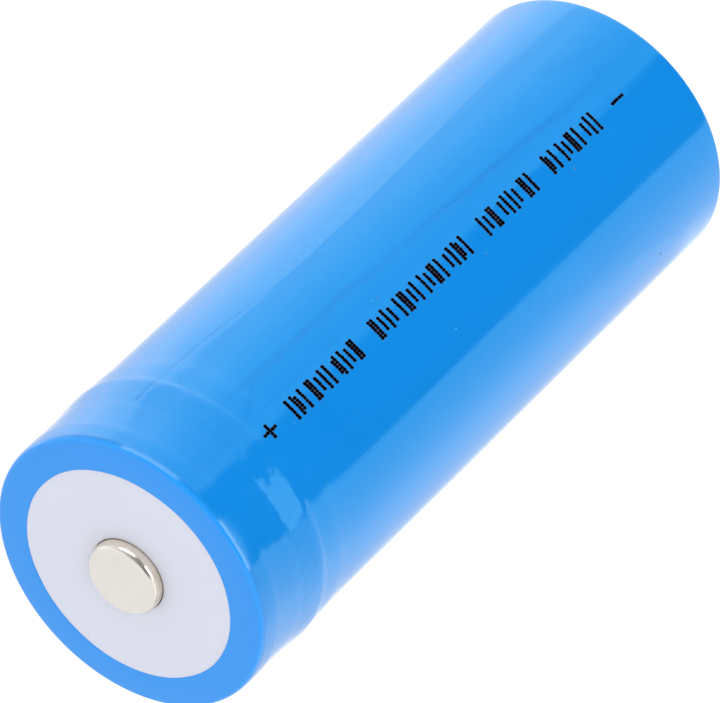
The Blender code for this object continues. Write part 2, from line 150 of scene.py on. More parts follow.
# ------------------------------------------------------------ node materials
class Nodes:
    """Short-hand for building a node tree."""

    def __init__(self, tree):
        self.tree = tree

    def add(self, kind, **settings):
        n = self.tree.nodes.new(kind)
        for k, v in settings.items():
            setattr(n, k, v)
        return n

    def link(self, a, b):
        self.tree.links.new(a, b)

    def object_coords(self):
        return self.add("ShaderNodeTexCoord").outputs["Object"]

    def noise(self, vector, scale, detail=3.0, rough=0.5):
        n = self.add("ShaderNodeTexNoise")
        n.inputs["Scale"].default_value = scale
        n.inputs["Detail"].default_value = detail
        n.inputs["Roughness"].default_value = rough
        self.link(vector, n.inputs["Vector"])
        return n.outputs["Fac"]

    def ramp(self, fac, stops, interpolation="LINEAR"):
        n = self.add("ShaderNodeValToRGB")
        cr = n.color_ramp
        cr.interpolation = interpolation
        while len(cr.elements) > 1:
            cr.elements.remove(cr.elements[-1])
        cr.elements[0].position = stops[0][0]
        cr.elements[0].color = colour(stops[0][1])
        for pos, c in stops[1:]:
            e = cr.elements.new(pos)
            e.color = colour(c)
        self.link(fac, n.inputs["Fac"])
        return n.outputs["Color"]

    def span(self, value, a, b, lo, hi, smooth=False):
        n = self.add("ShaderNodeMapRange")
        n.interpolation_type = "SMOOTHSTEP" if smooth else "LINEAR"
        n.inputs["From Min"].default_value = a
        n.inputs["From Max"].default_value = b
        n.inputs["To Min"].default_value = lo
        n.inputs["To Max"].default_value = hi
        self.link(value, n.inputs["Value"])
        return n.outputs["Result"]

    def curve(self, value, knots, lo, hi):
        """A value read off straight lines between knots; lo and hi bound it."""
        x0, x1 = knots[0][0], knots[-1][0]
        grey = self.ramp(self.span(value, x0, x1, 0.0, 1.0), [((x - x0) / (x1 - x0), (v - lo) / (hi - lo)) for x, v in knots])
        return self.span(grey, 0.0, 1.0, lo, hi)

    def math(self, op, a, b=None, c=None):
        n = self.add("ShaderNodeMath", operation=op)
        for i, v in enumerate((a, b, c)):
            if v is None:
                continue
            if isinstance(v, (int, float)):
                n.inputs[i].default_value = v
            else:
                self.link(v, n.inputs[i])
        return n.outputs[0]

    def split(self, vector):
        n = self.add("ShaderNodeSeparateXYZ")
        self.link(vector, n.inputs[0])
        return n.outputs

    def join(self, x, y, z):
        n = self.add("ShaderNodeCombineXYZ")
        for i, v in enumerate((x, y, z)):
            if isinstance(v, (int, float)):
                n.inputs[i].default_value = v
            else:
                self.link(v, n.inputs[i])
        return n.outputs[0]

    def stretch(self, vector, scale):
        n = self.add("ShaderNodeMapping")
        n.inputs["Scale"].default_value = scale
        self.link(vector, n.inputs["Vector"])
        return n.outputs[0]

    def bump(self, height, strength, distance, normal=None):
        n = self.add("ShaderNodeBump")
        n.inputs["Strength"].default_value = strength
        n.inputs["Distance"].default_value = distance
        self.link(height, n.inputs["Height"])
        if normal is not None:
            self.link(normal, n.inputs["Normal"])
        return n.outputs[0]

    def mix(self, fac, a, b):
        n = self.add("ShaderNodeMix", data_type="RGBA")
        for sock, v in ((n.inputs[0], fac), (n.inputs[6], a), (n.inputs[7], b)):
            if isinstance(v, (int, float)):
                sock.default_value = v
            elif isinstance(v, tuple):
                sock.default_value = colour(v)
            else:
                self.link(v, sock)
        return n.outputs[2]


def colour(c):
    if isinstance(c, (int, float)):
        return (c, c, c, 1.0)
    return (c[0], c[1], c[2], 1.0)


def shaded(c, k):
    return tuple(min(1.0, v * k) for v in c)


def new_material(name):
    mat = bpy.data.materials.new(name)
    mat.use_nodes = True
    n = Nodes(mat.node_tree)
    mat.node_tree.nodes.clear()
    out = n.add("ShaderNodeOutputMaterial")
    bsdf = n.add("ShaderNodeBsdfPrincipled")
    n.link(bsdf.outputs[0], out.inputs[0])
    return mat, n, bsdf


def radius_and_turn(n):
    """Distance from the cell's axis and the turn about it, from object coordinates."""
    x, y, z = n.split(n.object_coords())
    zz = n.math("SUBTRACT", z, AXIS_Z * MM)
    r = n.math("SQRT", n.math("ADD", n.math("MULTIPLY", x, x), n.math("MULTIPLY", zz, zz)))
    return r, n.math("ARCTAN2", x, zz), y


def film_material():
    """Glossy heat-shrink film, dyed through.  Over the front face it is given a paler blue; fine lines lie along it
    where it was folded flat, duller there and painted darker as painted shade in the creases."""
    mat, n, b = new_material("film_blue")
    co = n.object_coords()
    r, turn, y = radius_and_turn(n)
    s = n.math("SUBTRACT", n.math("DIVIDE", y, MM), Y_FRONT)
    th = n.math("DEGREES", turn)
    cloud = n.noise(co, 95.0, 4.0, 0.55)
    fine = n.noise(co, 900.0, 3.0, 0.6)
    tone = n.math("ADD", n.math("MULTIPLY", cloud, 0.7), n.math("MULTIPLY", fine, 0.3))
    side = n.ramp(tone, [(0.25, (0.0041, 0.168, 0.508)), (0.5, (0.0047, 0.175, 0.525)), (0.75, (0.0054, 0.182, 0.542))])
    drawn = n.ramp(tone, [(0.25, (0.0052, 0.274, 0.832)), (0.5, (0.0062, 0.280, 0.845)), (0.75, (0.0072, 0.286, 0.860))])
    # the front face, to about s = 0.1 and blending out by s = 0.6, is given a paler blue than the side
    base = n.mix(n.span(s, 0.10, 0.60, 1.0, 0.0, True), side, drawn)

    def line(path, show, wide, wander, rag, depth, seed):
        where = n.curve(s, path, -40.0, 60.0)
        shake = n.noise(n.join(n.math("MULTIPLY", s, 0.23), seed, 0.0), 1.0, 2.0, 0.6)
        tear = n.noise(n.join(n.math("MULTIPLY", s, 1.1), n.math("MULTIPLY", th, 0.25), seed), 1.0, 3.0, 0.65)
        off = n.math("ADD", n.math("MULTIPLY", n.math("SUBTRACT", shake, 0.5), wander),
                     n.math("MULTIPLY", n.math("SUBTRACT", tear, 0.5), rag))
        gap = n.math("ABSOLUTE", n.math("SUBTRACT", n.math("ADD", th, off), where))
        core = n.span(gap, 0.15 * wide, wide, depth, 0.0, True)
        core = n.math("MULTIPLY", core, n.span(tear, 0.30, 0.55, 0.35, 1.0, True))
        return n.math("MULTIPLY", core, n.curve(s, show, 0.0, 1.0))

    dull_and_painted_shade = line([(0.0, -13.8), (9.0, -13.9), (15.2, -13.0), (21.2, -10.1), (26.8, -8.5), (35.4, -8.5), (50.6, -10.0), (70.8, -10.6)],
                [(0.0, 0.0), (5.4, 0.0), (6.6, 1.0), (16.0, 0.9), (22.0, 0.5), (26.0, 0.15), (48.0, 0.1), (53.0, 0.5), (60.0, 0.4), (66.0, 0.0), (70.8, 0.0)],
                0.95, 0.6, 0.5, 0.38, 3.1)
    for add in (
        line([(0.0, 13.0), (5.6, 13.0), (12.6, 13.4), (22.8, 14.4), (28.0, 14.0), (30.5, 16.0), (40.5, 17.0), (50.6, 19.2), (57.7, 21.0), (70.8, 21.5)],
             [(0.0, 0.0), (8.0, 0.0), (14.0, 0.9), (24.0, 1.0), (30.0, 0.7), (36.0, 0.6), (42.0, 1.0), (56.0, 1.0), (61.0, 0.3), (65.0, 0.0), (70.8, 0.0)],
             2.2, 2.2, 3.6, 0.38, 11.7),
        line([(0.0, 24.6), (12.0, 24.4), (45.0, 24.6), (70.8, 25.0)],
             [(0.0, 0.0), (1.0, 0.3), (4.0, 0.8), (9.0, 0.6), (30.0, 0.7), (40.0, 0.2), (46.0, 0.0), (70.8, 0.0)],
             0.9, 1.2, 1.0, 0.22, 23.9),
        line([(0.0, 5.0), (58.0, 5.0), (60.7, 6.0), (69.8, 16.0), (70.8, 17.0)],
             [(0.0, 0.0), (59.0, 0.0), (61.5, 0.9), (67.0, 0.8), (70.2, 0.0), (70.8, 0.0)],
             1.1, 1.4, 1.8, 0.24, 31.3),
        line([(0.0, 24.0), (9.0, 24.0), (11.5, 19.0), (13.6, 14.5), (16.0, 13.0), (70.8, 13.0)],
             [(0.0, 0.0), (8.8, 0.0), (10.0, 0.7), (14.0, 0.7), (16.0, 0.0), (70.8, 0.0)],
             1.6, 2.0, 2.0, 0.28, 41.1),
    ):
        dull_and_painted_shade = n.math("MAXIMUM", dull_and_painted_shade, add)
    # painted shade: the fold lines are painted a darker blue, as shade in the creases
    base = n.mix(dull_and_painted_shade, base, (0.0015, 0.095, 0.400))
    n.link(base, b.inputs["Base Color"])
    gloss = n.span(cloud, 0.3, 0.7, 0.090, 0.125)
    # the same lines are rougher, a real duller gloss
    n.link(n.math("ADD", gloss, n.math("MULTIPLY", dull_and_painted_shade, 0.6)), b.inputs["Roughness"])
    b.inputs["IOR"].default_value = 1.5
    tint = n.ramp(n.span(s, 0.0, 10.0, 0.0, 1.0), [(0.025, (1.0, 1.0, 1.0)), (0.06, (0.62, 1.0, 1.0)), (0.12, (0.34, 1.0, 1.0)),
                                                  (0.86, (0.30, 1.0, 1.0)), (0.95, (0.17, 1.0, 1.0))])
    n.link(tint, b.inputs["Specular Tint"])
    ripple = n.noise(n.stretch(co, (1.0, 0.35, 1.0)), 420.0, 2.0, 0.5)
    n.link(n.bump(ripple, 0.25, 0.00002), b.inputs["Normal"])
    return mat


def disc_material():
    """Smooth white fibre sheet with a faint cold cast."""
    mat, n, b = new_material("disc_white")
    co = n.object_coords()
    fibre = n.noise(n.stretch(co, (1.0, 1.0, 2.4)), 2600.0, 4.0, 0.62)
    cloud = n.noise(co, 140.0, 3.0, 0.5)
    tone = n.math("ADD", n.math("MULTIPLY", fibre, 0.45), n.math("MULTIPLY", cloud, 0.55))
    base = n.ramp(tone, [(0.3, (0.655, 0.675, 0.785)), (0.7, (0.671, 0.691, 0.801))])
    n.link(base, b.inputs["Base Color"])
    n.link(n.span(cloud, 0.3, 0.7, 0.42, 0.52), b.inputs["Roughness"])
    n.link(n.bump(fibre, 0.35, 0.00002), b.inputs["Normal"])
    return mat


def nib_material():
    mat, n, b = new_material("film_nib_pale")
    co = n.object_coords()
    blot = n.noise(co, 3000.0, 2.0, 0.5)
    n.link(n.ramp(blot, [(0.3, (0.16, 0.44, 0.84)), (0.7, (0.30, 0.56, 0.90))]), b.inputs["Base Color"])
    n.link(n.span(blot, 0.3, 0.7, 0.3, 0.5), b.inputs["Roughness"])
    return mat


def nickel_material(name, base, rough, ring_marks=0.0, haze=0.10):
    """Nickel plate over drawn steel: faint rings from the die, small stains."""
    mat, n, b = new_material(name)
    co = n.object_coords()
    cloud = n.noise(co, 320.0, 4.0, 0.6)
    grain = n.noise(co, 5200.0, 2.0, 0.6)
    tone = n.math("ADD", n.math("MULTIPLY", cloud, 0.75), n.math("MULTIPLY", grain, 0.25))
    n.link(n.ramp(tone, [(0.3, shaded(base, 0.90)), (0.7, shaded(base, 1.05))]), b.inputs["Base Color"])
    b.inputs["Metallic"].default_value = 1.0
    n.link(n.span(cloud, 0.3, 0.7, rough, rough + haze), b.inputs["Roughness"])
    height = grain
    if ring_marks > 0.0:
        r, turn, y = radius_and_turn(n)
        rings = n.noise(n.join(n.math("MULTIPLY", r, 1.0), n.math("MULTIPLY", turn, 0.00004), 0.0), 9000.0, 3.0, 0.7)
        height = n.math("ADD", n.math("MULTIPLY", rings, ring_marks), n.math("MULTIPLY", grain, 0.2))
    n.link(n.bump(height, 0.12, 0.00002), b.inputs["Normal"])
    return mat


def button_material():
    """Nickel plate on the drawn button: satin face, and a wall painted brighter and warmer than the face as a painted
    reflection, with fine lines round it from the die."""
    mat, n, b = new_material("nickel_button")
    co = n.object_coords()
    r, turn, y = radius_and_turn(n)
    cloud = n.noise(co, 520.0, 4.0, 0.6)
    grain = n.noise(co, 5200.0, 2.0, 0.6)
    drawn = n.noise(n.join(n.math("SINE", turn), n.math("COSINE", turn), n.math("MULTIPLY", y, 60.0)), 3.2, 3.0, 0.55)
    streak = n.noise(n.join(n.math("SINE", turn), n.math("COSINE", turn), n.math("MULTIPLY", y, 20.0)), 60.0, 2.0, 0.6)
    face = n.ramp(cloud, [(0.3, (0.675, 0.655, 0.610)), (0.7, (0.710, 0.690, 0.650))])
    lines = n.noise(n.join(n.math("MULTIPLY", turn, 0.5), n.math("MULTIPLY", y, 4200.0), n.math("MULTIPLY", r, 900.0)), 1.0, 2.0, 0.5)
    wall_tone = n.math("ADD", n.math("MULTIPLY", drawn, 0.55), n.math("MULTIPLY", lines, 0.45))
    # painted reflection: the wall is given a brighter, warmer beige than the face to stand in for what it reflects; the
    # die lines vary it
    wall_lines_and_painted_reflection = n.ramp(wall_tone, [(0.36, (0.76, 0.665, 0.535)), (0.5, (0.92, 0.815, 0.665)), (0.62, (0.98, 0.89, 0.740))])
    where = n.span(r, 3.25 * MM, 3.41 * MM, 0.0, 1.0, True)
    n.link(n.mix(where, face, wall_lines_and_painted_reflection), b.inputs["Base Color"])
    b.inputs["Metallic"].default_value = 1.0
    satin = n.span(cloud, 0.3, 0.7, 0.20, 0.28)
    n.link(n.math("ADD", n.math("MULTIPLY", satin, n.span(r, 2.8 * MM, 3.1 * MM, 1.0, 0.62, True)), 0.0), b.inputs["Roughness"])
    height = n.math("ADD", n.math("MULTIPLY", grain, n.span(r, 2.6 * MM, 3.0 * MM, 0.5, 0.15, True)),
                    n.math("MULTIPLY", streak, n.span(r, 3.30 * MM, 3.42 * MM, 0.0, 0.5, True)))
    n.link(n.bump(height, 0.15, 0.00002), b.inputs["Normal"])
    return mat


def ink_material():
    mat, n, b = new_material("ink_black")
    co = n.object_coords()
    blot = n.noise(co, 2400.0, 3.0, 0.6)
    n.link(n.ramp(blot, [(0.3, (0.0100, 0.0120, 0.0340)), (0.7, (0.0150, 0.0190, 0.0520))]), b.inputs["Base Color"])
    n.link(n.span(blot, 0.3, 0.7, 0.38, 0.55), b.inputs["Roughness"])
    b.inputs["IOR"].default_value = 1.45
    n.link(n.bump(blot, 0.3, 0.00001), b.inputs["Normal"])
    return mat


# ------------------------------------------------------------ the shrink film
# How far the film's side stands from the axis, behind the front fold.  Knots
# follow the outline: rim, waist over the carrier, shoulder, its crease, band.
SIDE = [
    (0.0, 13.165), (0.85, 13.170), (1.3, 13.185), (2.1, 13.197), (2.9, 13.150), (4.2, 13.128), (6.0, 13.152),
    (8.35, 13.335), (8.7, 13.345), (8.95, 13.325), (9.3, 13.270), (10.0, 13.235), (10.9, 13.210),
    (11.6, 13.180), (12.4, 13.130), (13.4, 13.105), (14.6, 13.100), (71.0, 13.100),
]
REAR_FILLET = 0.50
_side_x = np.arange(0.0, 71.0, 0.04)
_side_y = smooth_curve(SIDE, _side_x, 0.11)


def side_r(s):
    return np.interp(s, _side_x, _side_y)


def along(s, knots):
    return np.interp(s, [k[0] for k in knots], [k[1] for k in knots])


# Lines the shrinking leaves along the film: where they run (s, theta), how high
# they stand at places along them (s, mm) and their half width in degrees.
FOLDS = [
    ([(5.6, -13.8), (9.0, -13.9), (15.2, -12.9), (21.2, -9.9), (26.8, -7.9), (35.4, -7.8), (50.6, -9.4), (57.7, -11.0), (70.0, -10.4)],
     [(5.0, 0.0), (6.5, -0.0045), (8.6, -0.0045), (9.3, 0.0), (11.0, -0.004), (20.0, -0.0035), (25.0, 0.003), (50.0, 0.0035), (60.0, 0.001), (69.0, 0.0)], 0.55),
    ([(1.0, 13.0), (5.6, 13.0), (12.6, 13.4), (22.8, 14.4), (28.0, 14.0), (30.5, 16.0), (40.5, 17.0), (50.6, 19.2), (57.7, 21.0), (70.0, 21.5)],
     [(10.0, 0.0), (14.0, -0.003), (24.0, -0.004), (33.0, -0.002), (42.0, -0.004), (56.0, -0.0045), (62.0, -0.001), (66.0, 0.0)], 0.60),
    ([(1.0, 24.6), (12.0, 24.4), (45.0, 24.6), (70.0, 25.0)],
     [(1.0, 0.0), (4.0, -0.002), (10.0, -0.0015), (30.0, -0.0025), (44.0, 0.0), (70.0, 0.0)], 0.60),
    ([(58.0, 4.8), (60.7, 6.0), (69.8, 16.0)], [(59.0, 0.0), (61.0, -0.0014), (68.0, -0.0014), (69.8, 0.0)], 0.70),
    ([(38.0, 28.2), (50.0, 29.6), (62.0, 33.2), (70.0, 35.4)], [(39.0, 0.0), (44.0, 0.003), (52.0, 0.004), (66.0, 0.004), (69.5, 0.0)], 0.60),
]
# Small knocks: s, theta, depth in mm, half length along s, half width across, slant in degrees
KNOCKS = [
    (26.8, -0.6, -0.006, 0.34, 0.14, -50.0), (54.1, -30.0, -0.016, 0.42, 0.30, 20.0), (54.6, -29.0, 0.010, 0.30, 0.25, 0.0),
    (66.6, 101.0, -0.030, 0.80, 0.45, 35.0), (65.4, 97.5, 0.016, 0.40, 0.35, 0.0), (67.6, 107.0, -0.040, 0.90, 0.40, 50.0),
    (62.4, 96.0, -0.014, 0.40, 0.30, 0.0), (60.9, 99.0, 0.010, 0.30, 0.30, 0.0),
    (47.0, 168.0, -0.020, 1.60, 0.50, 12.0), (31.0, -96.0, -0.014, 1.20, 0.40, -20.0), (18.0, -140.0, 0.012, 0.90, 0.60, 40.0),
]
# How the film's facing turns, in degrees, along its length: (centre theta, half width, knots)
WAVES = [
    (-10.0, 7.0, [(0.0, 0.0), (5.6, 2.2), (15.2, 1.9), (21.2, 0.3), (26.8, -1.1), (35.4, -1.1), (50.6, 0.4), (57.7, 1.4), (66.0, 1.0), (70.3, 0.0)]),
    (17.0, 6.0, [(0.0, 0.0), (3.0, 0.8), (14.0, 0.7), (30.0, 0.2), (45.0, -0.6), (57.0, -0.9), (66.0, -0.4), (70.3, 0.0)]),
    (31.0, 5.0, [(0.0, 0.0), (1.5, -1.6), (3.5, 0.4), (6.0, 0.2), (9.0, -0.8), (14.0, 0.2), (30.0, -0.3), (44.0, 0.4), (56.0, -0.5), (66.0, -0.8), (70.3, 0.0)]),
    (62.0, 6.0, [(0.0, 0.0), (6.0, -0.4), (10.0, 0.3), (20.0, 0.0), (36.0, 0.3), (50.0, -0.2), (66.0, 0.2), (70.3, 0.0)]),
]


def film_lift(theta_deg, s):
    """Unevenness of the shrunk film, in mm off the turned shape."""
    t, s = np.broadcast_arrays(np.asarray(theta_deg, float), np.asarray(s, float))
    t = (t + 180.0) % 360.0 - 180.0
    body = step_up(s, 0.9, 3.0) * (1.0 - step_up(s, 68.5, 70.3))
    d = np.zeros(t.shape)
    for m, amp, ph, wl, ps in ((3, 0.008, 0.7, 61.0, 0.3), (5, 0.005, 2.1, 47.0, 1.9), (8, 0.0022, 4.4, 39.0, 5.1),
                               (13, 0.0010, 1.2, 33.0, 2.6)):
        d += amp * np.cos(m * np.radians(t) + ph + 0.8 * np.sin(2 * math.pi * s / wl + ps))
    for mid, wide, knots in WAVES:
        u = (t - mid) / wide
        d += -BODY_R * np.radians(along(s, knots)) * math.radians(wide) * u * np.exp(-0.5 * u * u)
    for path, high, wide in FOLDS:
        wander = 0.28 * np.sin(2.1 * s + 3.0 * wide) + 0.18 * np.sin(5.3 * s + wide) if path[0][1] > 0 else 0.12 * np.sin(0.9 * s)
        d += 3.2 * along(s, high) * bump(t, along(s, path) + wander, wide)
    for ks, kt, depth, a, b, slant in KNOCKS:
        x, y = s - ks, np.radians(t - kt) * BODY_R
        c, n_ = math.cos(math.radians(slant)), math.sin(math.radians(slant))
        d += depth * np.exp(-0.5 * (((x * c + y * n_) / a) ** 2 + ((-x * n_ + y * c) / b) ** 2))
    # where the shoulder's crease was pinched while it shrank
    a = np.radians(t)
    d += 0.006 * bump(s, 8.6, 0.7) * np.sin(a * 9 + 1.0)
    d -= 0.050 * np.tanh((s - 7.1) / 0.7) * bump(s, 7.1, 1.5) * bump(t, 39.0 + 1.2 * np.sin(3.1 * s), 4.6)
    d += 1.5 * bump(s, 7.0, 1.1) * (0.004 * np.sin(a * 23 + 0.5) + 0.0040 * np.sin(a * 47 + 2.6 * s) + 0.0026 * np.sin(a * 83 - 4.3 * s + 1.0)
                              + 0.0012 * np.sin(a * 127 + 6.1 * s + 2.0))
    return d * body


def film_r(theta_deg, s):
    return side_r(s) + film_lift(theta_deg, s)


film_mat = film_material()
OPEN_F, OPEN_R = 10.10, 10.30
outer = [(OPEN_F + 0.040, 0.072), (OPEN_F + 0.008, 0.060), (OPEN_F, 0.040), (OPEN_F + 0.012, 0.014), (OPEN_F + 0.050, 0.001)]
# the front face bulges a little, then turns quickly into the side
bulge, fold_r, edge_r, turn_over = 5.0, 0.40, 1.55, 71.0
flat_r = (13.165 - fold_r * (math.sin(math.radians(turn_over)) - math.sin(math.radians(bulge)))
          - edge_r * (math.sin(math.radians(87)) - math.sin(math.radians(turn_over))))
dome = (flat_r - OPEN_F - 0.12) / math.sin(math.radians(bulge))
outer += [(OPEN_F + 0.12 + dome * math.sin(a), dome * (1.0 - math.cos(a))) for a in np.radians(np.linspace(0.0, bulge, 9))]
for turn_r, a0, a1, steps in ((fold_r, bulge, turn_over, 9), (edge_r, turn_over, 87.0, 9)):
    r0, s0 = outer[-1]
    for a in np.radians(np.linspace(a0, a1, steps + 1)[1:]):
        outer.append((r0 + turn_r * (math.sin(a) - math.sin(math.radians(a0))), s0 + turn_r * (math.cos(math.radians(a0)) - math.cos(a))))
join_r, join_s = outer[-1]
side_s = list(np.arange(join_s + 0.10, 14.0, 0.14)) + list(np.arange(14.0, 70.15, 0.48))
n_front = len(outer)
outer += [(float(side_r(s)) + (join_r - float(side_r(join_s))) * math.exp(-(s - join_s) / 0.5), float(s)) for s in side_s]
n_side = len(outer)
rear_c = (BODY_R - REAR_FILLET, 70.80 - REAR_FILLET)
outer += [(rear_c[0] + REAR_FILLET * math.cos(a), rear_c[1] + REAR_FILLET * math.sin(a)) for a in np.radians(np.linspace(0, 90, 9))]
outer += [(r, 70.80) for r in np.linspace(12.45, OPEN_R + 0.12, 7)]
outer += [(OPEN_R + 0.045, 70.798), (OPEN_R + 0.010, 70.778), (OPEN_R, 70.748), (OPEN_R + 0.008, 70.718), (OPEN_R + 0.035, 70.700)]
n_outer = len(outer)
w = 0.10
inner = [(12.58, 70.70), (12.90, 70.55), (13.0, 70.30)]
inner += [(float(side_r(s)) - w, float(s)) for s in (60.0, 50.0, 40.0, 30.0, 20.0, 14.0, 12.0, 10.0, 9.2, 8.4, 7.0, 5.0, 3.0, 2.0, 1.0)]
inner += [(12.93, 0.45), (12.62, 0.17), (12.30, 0.10)]
film_rings = outer + inner


def film_shift(theta, i, r, s):
    t = np.degrees(theta)
    s0 = float(s[0])
    if i < n_outer:
        fade = 1.0 if n_front <= i < n_side else 0.0
        if fade:
            r = r + film_lift(t, s0)
        # the two openings are cut and shrunk by hand, so they aren't true circles
        if s0 < 0.11:
            k = step_up(np.full_like(r, 12.2) - r, 0.0, 2.1)
            r = r + k * (0.022 * np.cos(2 * theta + 0.6) + 0.014 * np.cos(5 * theta + 2.0) + 0.008 * np.cos(11 * theta + 0.4))
            s = s - k * 0.012 * np.cos(3 * theta + 1.0) + 0.012 * k
        if s0 > 70.69:
            k = step_up(np.full_like(r, 12.4) - r, 0.0, 2.1)
            r = r + k * (0.05 * np.cos(3 * theta + 0.2) + 0.03 * np.cos(7 * theta + 1.3) + 0.018 * np.cos(16 * theta + 2.4))
            s = s - 0.012 * k
    return r, s


# columns lie closer together where the fine lines run
film_turns = np.radians(np.concatenate([
    np.arange(-16.0, 26.0, 0.6), np.arange(26.0, 66.0, 0.8), np.linspace(66.0, 344.0, 200)[:-1]]))
film = turned("film_sleeve", film_rings, 0, film_shift, turns=film_turns, stands_for=("outer_sleeve",), slot="sleeve_film", mat=film_mat)

# ------------------------------------------------------- disc under the film
disc_rings = [(3.490, 0.58), (3.490, 0.110), (3.500, 0.082), (3.525, 0.068)]
disc_rings += [(r, 0.066) for r in np.linspace(3.8, 11.6, 24)]
disc_rings += [(11.8, 0.15), (12.1, 0.30), (12.20, 0.55), (12.15, 0.58)]
disc = turned("disc_sheet", disc_rings, 192, stands_for=("top_insulator_disc",), slot="disc_fibre", mat=disc_material())

# -------------------------------------------------------------- button contact
# u = 71.85 at its top is s = -1.05
top = -1.05
fr = 0.44
button_rings = [(0.0, top + 0.000), (0.6, top + 0.001), (1.2, top + 0.003), (1.8, top + 0.006), (2.4, top + 0.011), (2.8, top + 0.017)]
button_rings = [(r, z) for r, z in button_rings if r < 2.7]
hub = 3.430 - fr * math.sin(math.radians(68)) - 1.10 * (math.sin(math.radians(88)) - math.sin(math.radians(68)))
button_rings += [(hub + fr * math.sin(a), top + 0.020 + fr - fr * math.cos(a)) for a in np.radians(np.linspace(3, 68, 15))]
r0, s0 = button_rings[-1]
button_rings += [(r0 + 1.10 * (math.sin(a) - math.sin(math.radians(68))), s0 + 1.10 * (math.cos(math.radians(68)) - math.cos(a)))
                 for a in np.radians(np.linspace(70, 88, 9))]
button_rings += [(3.432, -0.22), (3.436, -0.10), (3.440, 0.0), (3.444, 0.15), (3.448, 0.30), (3.452, 0.42)]
button_rings += [(3.470, 0.52), (3.520, 0.60), (3.62, 0.645), (3.80, 0.65), (5.15, 0.65), (5.20, 0.68), (5.20, 0.88), (5.15, 0.90)]
button_rings += [(3.40, 0.90), (3.25, 0.84), (3.18, 0.72), (3.18, -0.60), (3.10, -0.74), (2.95, -0.80), (0.0, -0.80)]
button = turned("button_cap", button_rings, 160, stands_for=("positive_button",), slot="button_nickel",
                mat=button_material())

# ------------------------------------------------------------- steel can shell
can_nodes_profile = None
CAN_R = 12.93


def u_to_s(p):
    return (p[0], 70.80 - p[1])


bead = 60.90
can_outer = [(10.60, 64.75), (12.30, 64.75), (12.60, 64.62), (12.75, 64.50), (12.88, 64.22), (12.95, 63.90),
             (13.08, 62.80), (13.08, 62.10), (12.98, 61.88), (12.70, 61.65), (12.15, 61.42), (11.85, 61.32), (11.66, 61.12),
             (11.60, 60.90), (11.66, 60.68), (11.85, 60.48), (12.15, 60.36), (12.70, 60.05), (12.86, 59.80), (12.93, 59.45)]
can_outer += [(12.93, u) for u in (50.0, 40.0, 30.0, 20.0, 10.0, 0.75)]
can_outer += [(12.43 + 0.50 * math.cos(a), 0.65 - 0.50 * math.sin(a)) for a in np.radians(np.linspace(8, 90, 9))]
can_outer += [(11.6, 0.15), (10.6, 0.15), (10.14, 0.15), (10.04, 0.135), (9.97, 0.095), (9.93, 0.045), (9.86, 0.012), (9.76, 0.0)]
can_outer += [(r, 0.0) for r in (9.2, 8.0, 6.5, 5.0, 3.5, 2.0, 1.0)] + [(0.0, 0.0)]
can_inner = [(0.0, 0.50), (12.30, 0.50), (12.63, 0.85), (12.63, 59.32), (12.40, 59.80), (11.60, 60.24), (11.30, 60.90),
             (11.60, 61.56), (12.10, 61.74), (12.66, 62.02), (12.76, 62.40), (12.68, 63.90), (12.38, 64.40), (10.60, 64.40)]
can = turned("can_shell", [u_to_s(p) for p in can_outer + can_inner], 192, stands_for=("steel_can",), slot="can_steel",
             mat=nickel_material("nickel_can", (0.43, 0.418, 0.388), 0.20, 0.9, 0.16))


# ------------------------------------------------------------- the ink markings
# Polarity signs, and columns of dots as long and short ticks where a printer would put a batch line.
PLUS = ["..#..", "..#..", "#####", "..#..", "..#.."]
MINUS = ["#####"]
TICKS = {"T": range(0, 7), "M": range(1, 6), "B": range(3, 7), ".": ()}
ROW_P, COL_P = 0.285, 0.365
MARK_THETA = 32.0


def ticks(word):
    """Columns of dots, as a ruler's long and short ticks: seven rows."""
    return ["".join("#" if row in TICKS[c] else "." for c in word) for row in range(7)]


marks = [(9.78, PLUS), (13.82, ticks("T.TM.T..TT.M.T.T..MT.T.M.TT")),
         (26.06, ticks("TT.M.T.M..T.TT.M.T..T.M.TT.T..M.T.TM.T")),
         (42.40, ticks("T.M.TT..M.T.T.M..TT.T")), (52.36, ticks("TM.T..T.M.TT.T..M.T.T")),
         (62.48, MINUS)]


def dots_mesh(name, places, slot, mat, sides=10, proud=0.010, sunk=0.03):
    """Small round films that lie on the sleeve: places are (s, theta, half length, half width)."""
    verts, faces = [], []
    for s0, t0, a, b in places:
        base = len(verts)
        for level, lift in ((1.0, -sunk), (1.0, proud * 0.45), (0.86, proud)):
            for k in range(sides):
                q = 2.0 * math.pi * (k + 0.5) / sides
                cq, sq = math.cos(q), math.sin(q)
                e = 0.72            # between a circle and a square
                ds = a * level * math.copysign(abs(cq) ** e, cq)
                dt = b * level * math.copysign(abs(sq) ** e, sq)
                s, t = s0 + ds, t0 + math.degrees(dt / BODY_R)
                r = float(film_r(t, s)) + lift
                tr = math.radians(t)
                verts.append((r * math.sin(tr) * MM, (Y_FRONT + s) * MM, (AXIS_Z + r * math.cos(tr)) * MM))
        low, mid, high = base, base + sides, base + 2 * sides
        for k in range(sides):
            m = (k + 1) % sides
            faces.append((low + k, mid + k, mid + m, low + m))
            faces.append((mid + k, high + k, high + m, mid + m))
        faces.append(tuple(high + k for k in range(sides)))
        faces.append(tuple(low + k for k in reversed(range(sides))))
    v = np.array(verts)
    # faces must look outwards: test one top face
    p = v[list(faces[2 * sides])]
    nrm = np.cross(p[1] - p[0], p[2] - p[0])
    out = p.mean(0) - np.array([0.0, p.mean(0)[1], AXIS_Z * MM])
    if float(np.dot(nrm, out)) < 0.0:
        faces = [tuple(reversed(f)) for f in faces]
    return new_piece(name, verts, faces, slot=slot, mat=mat)


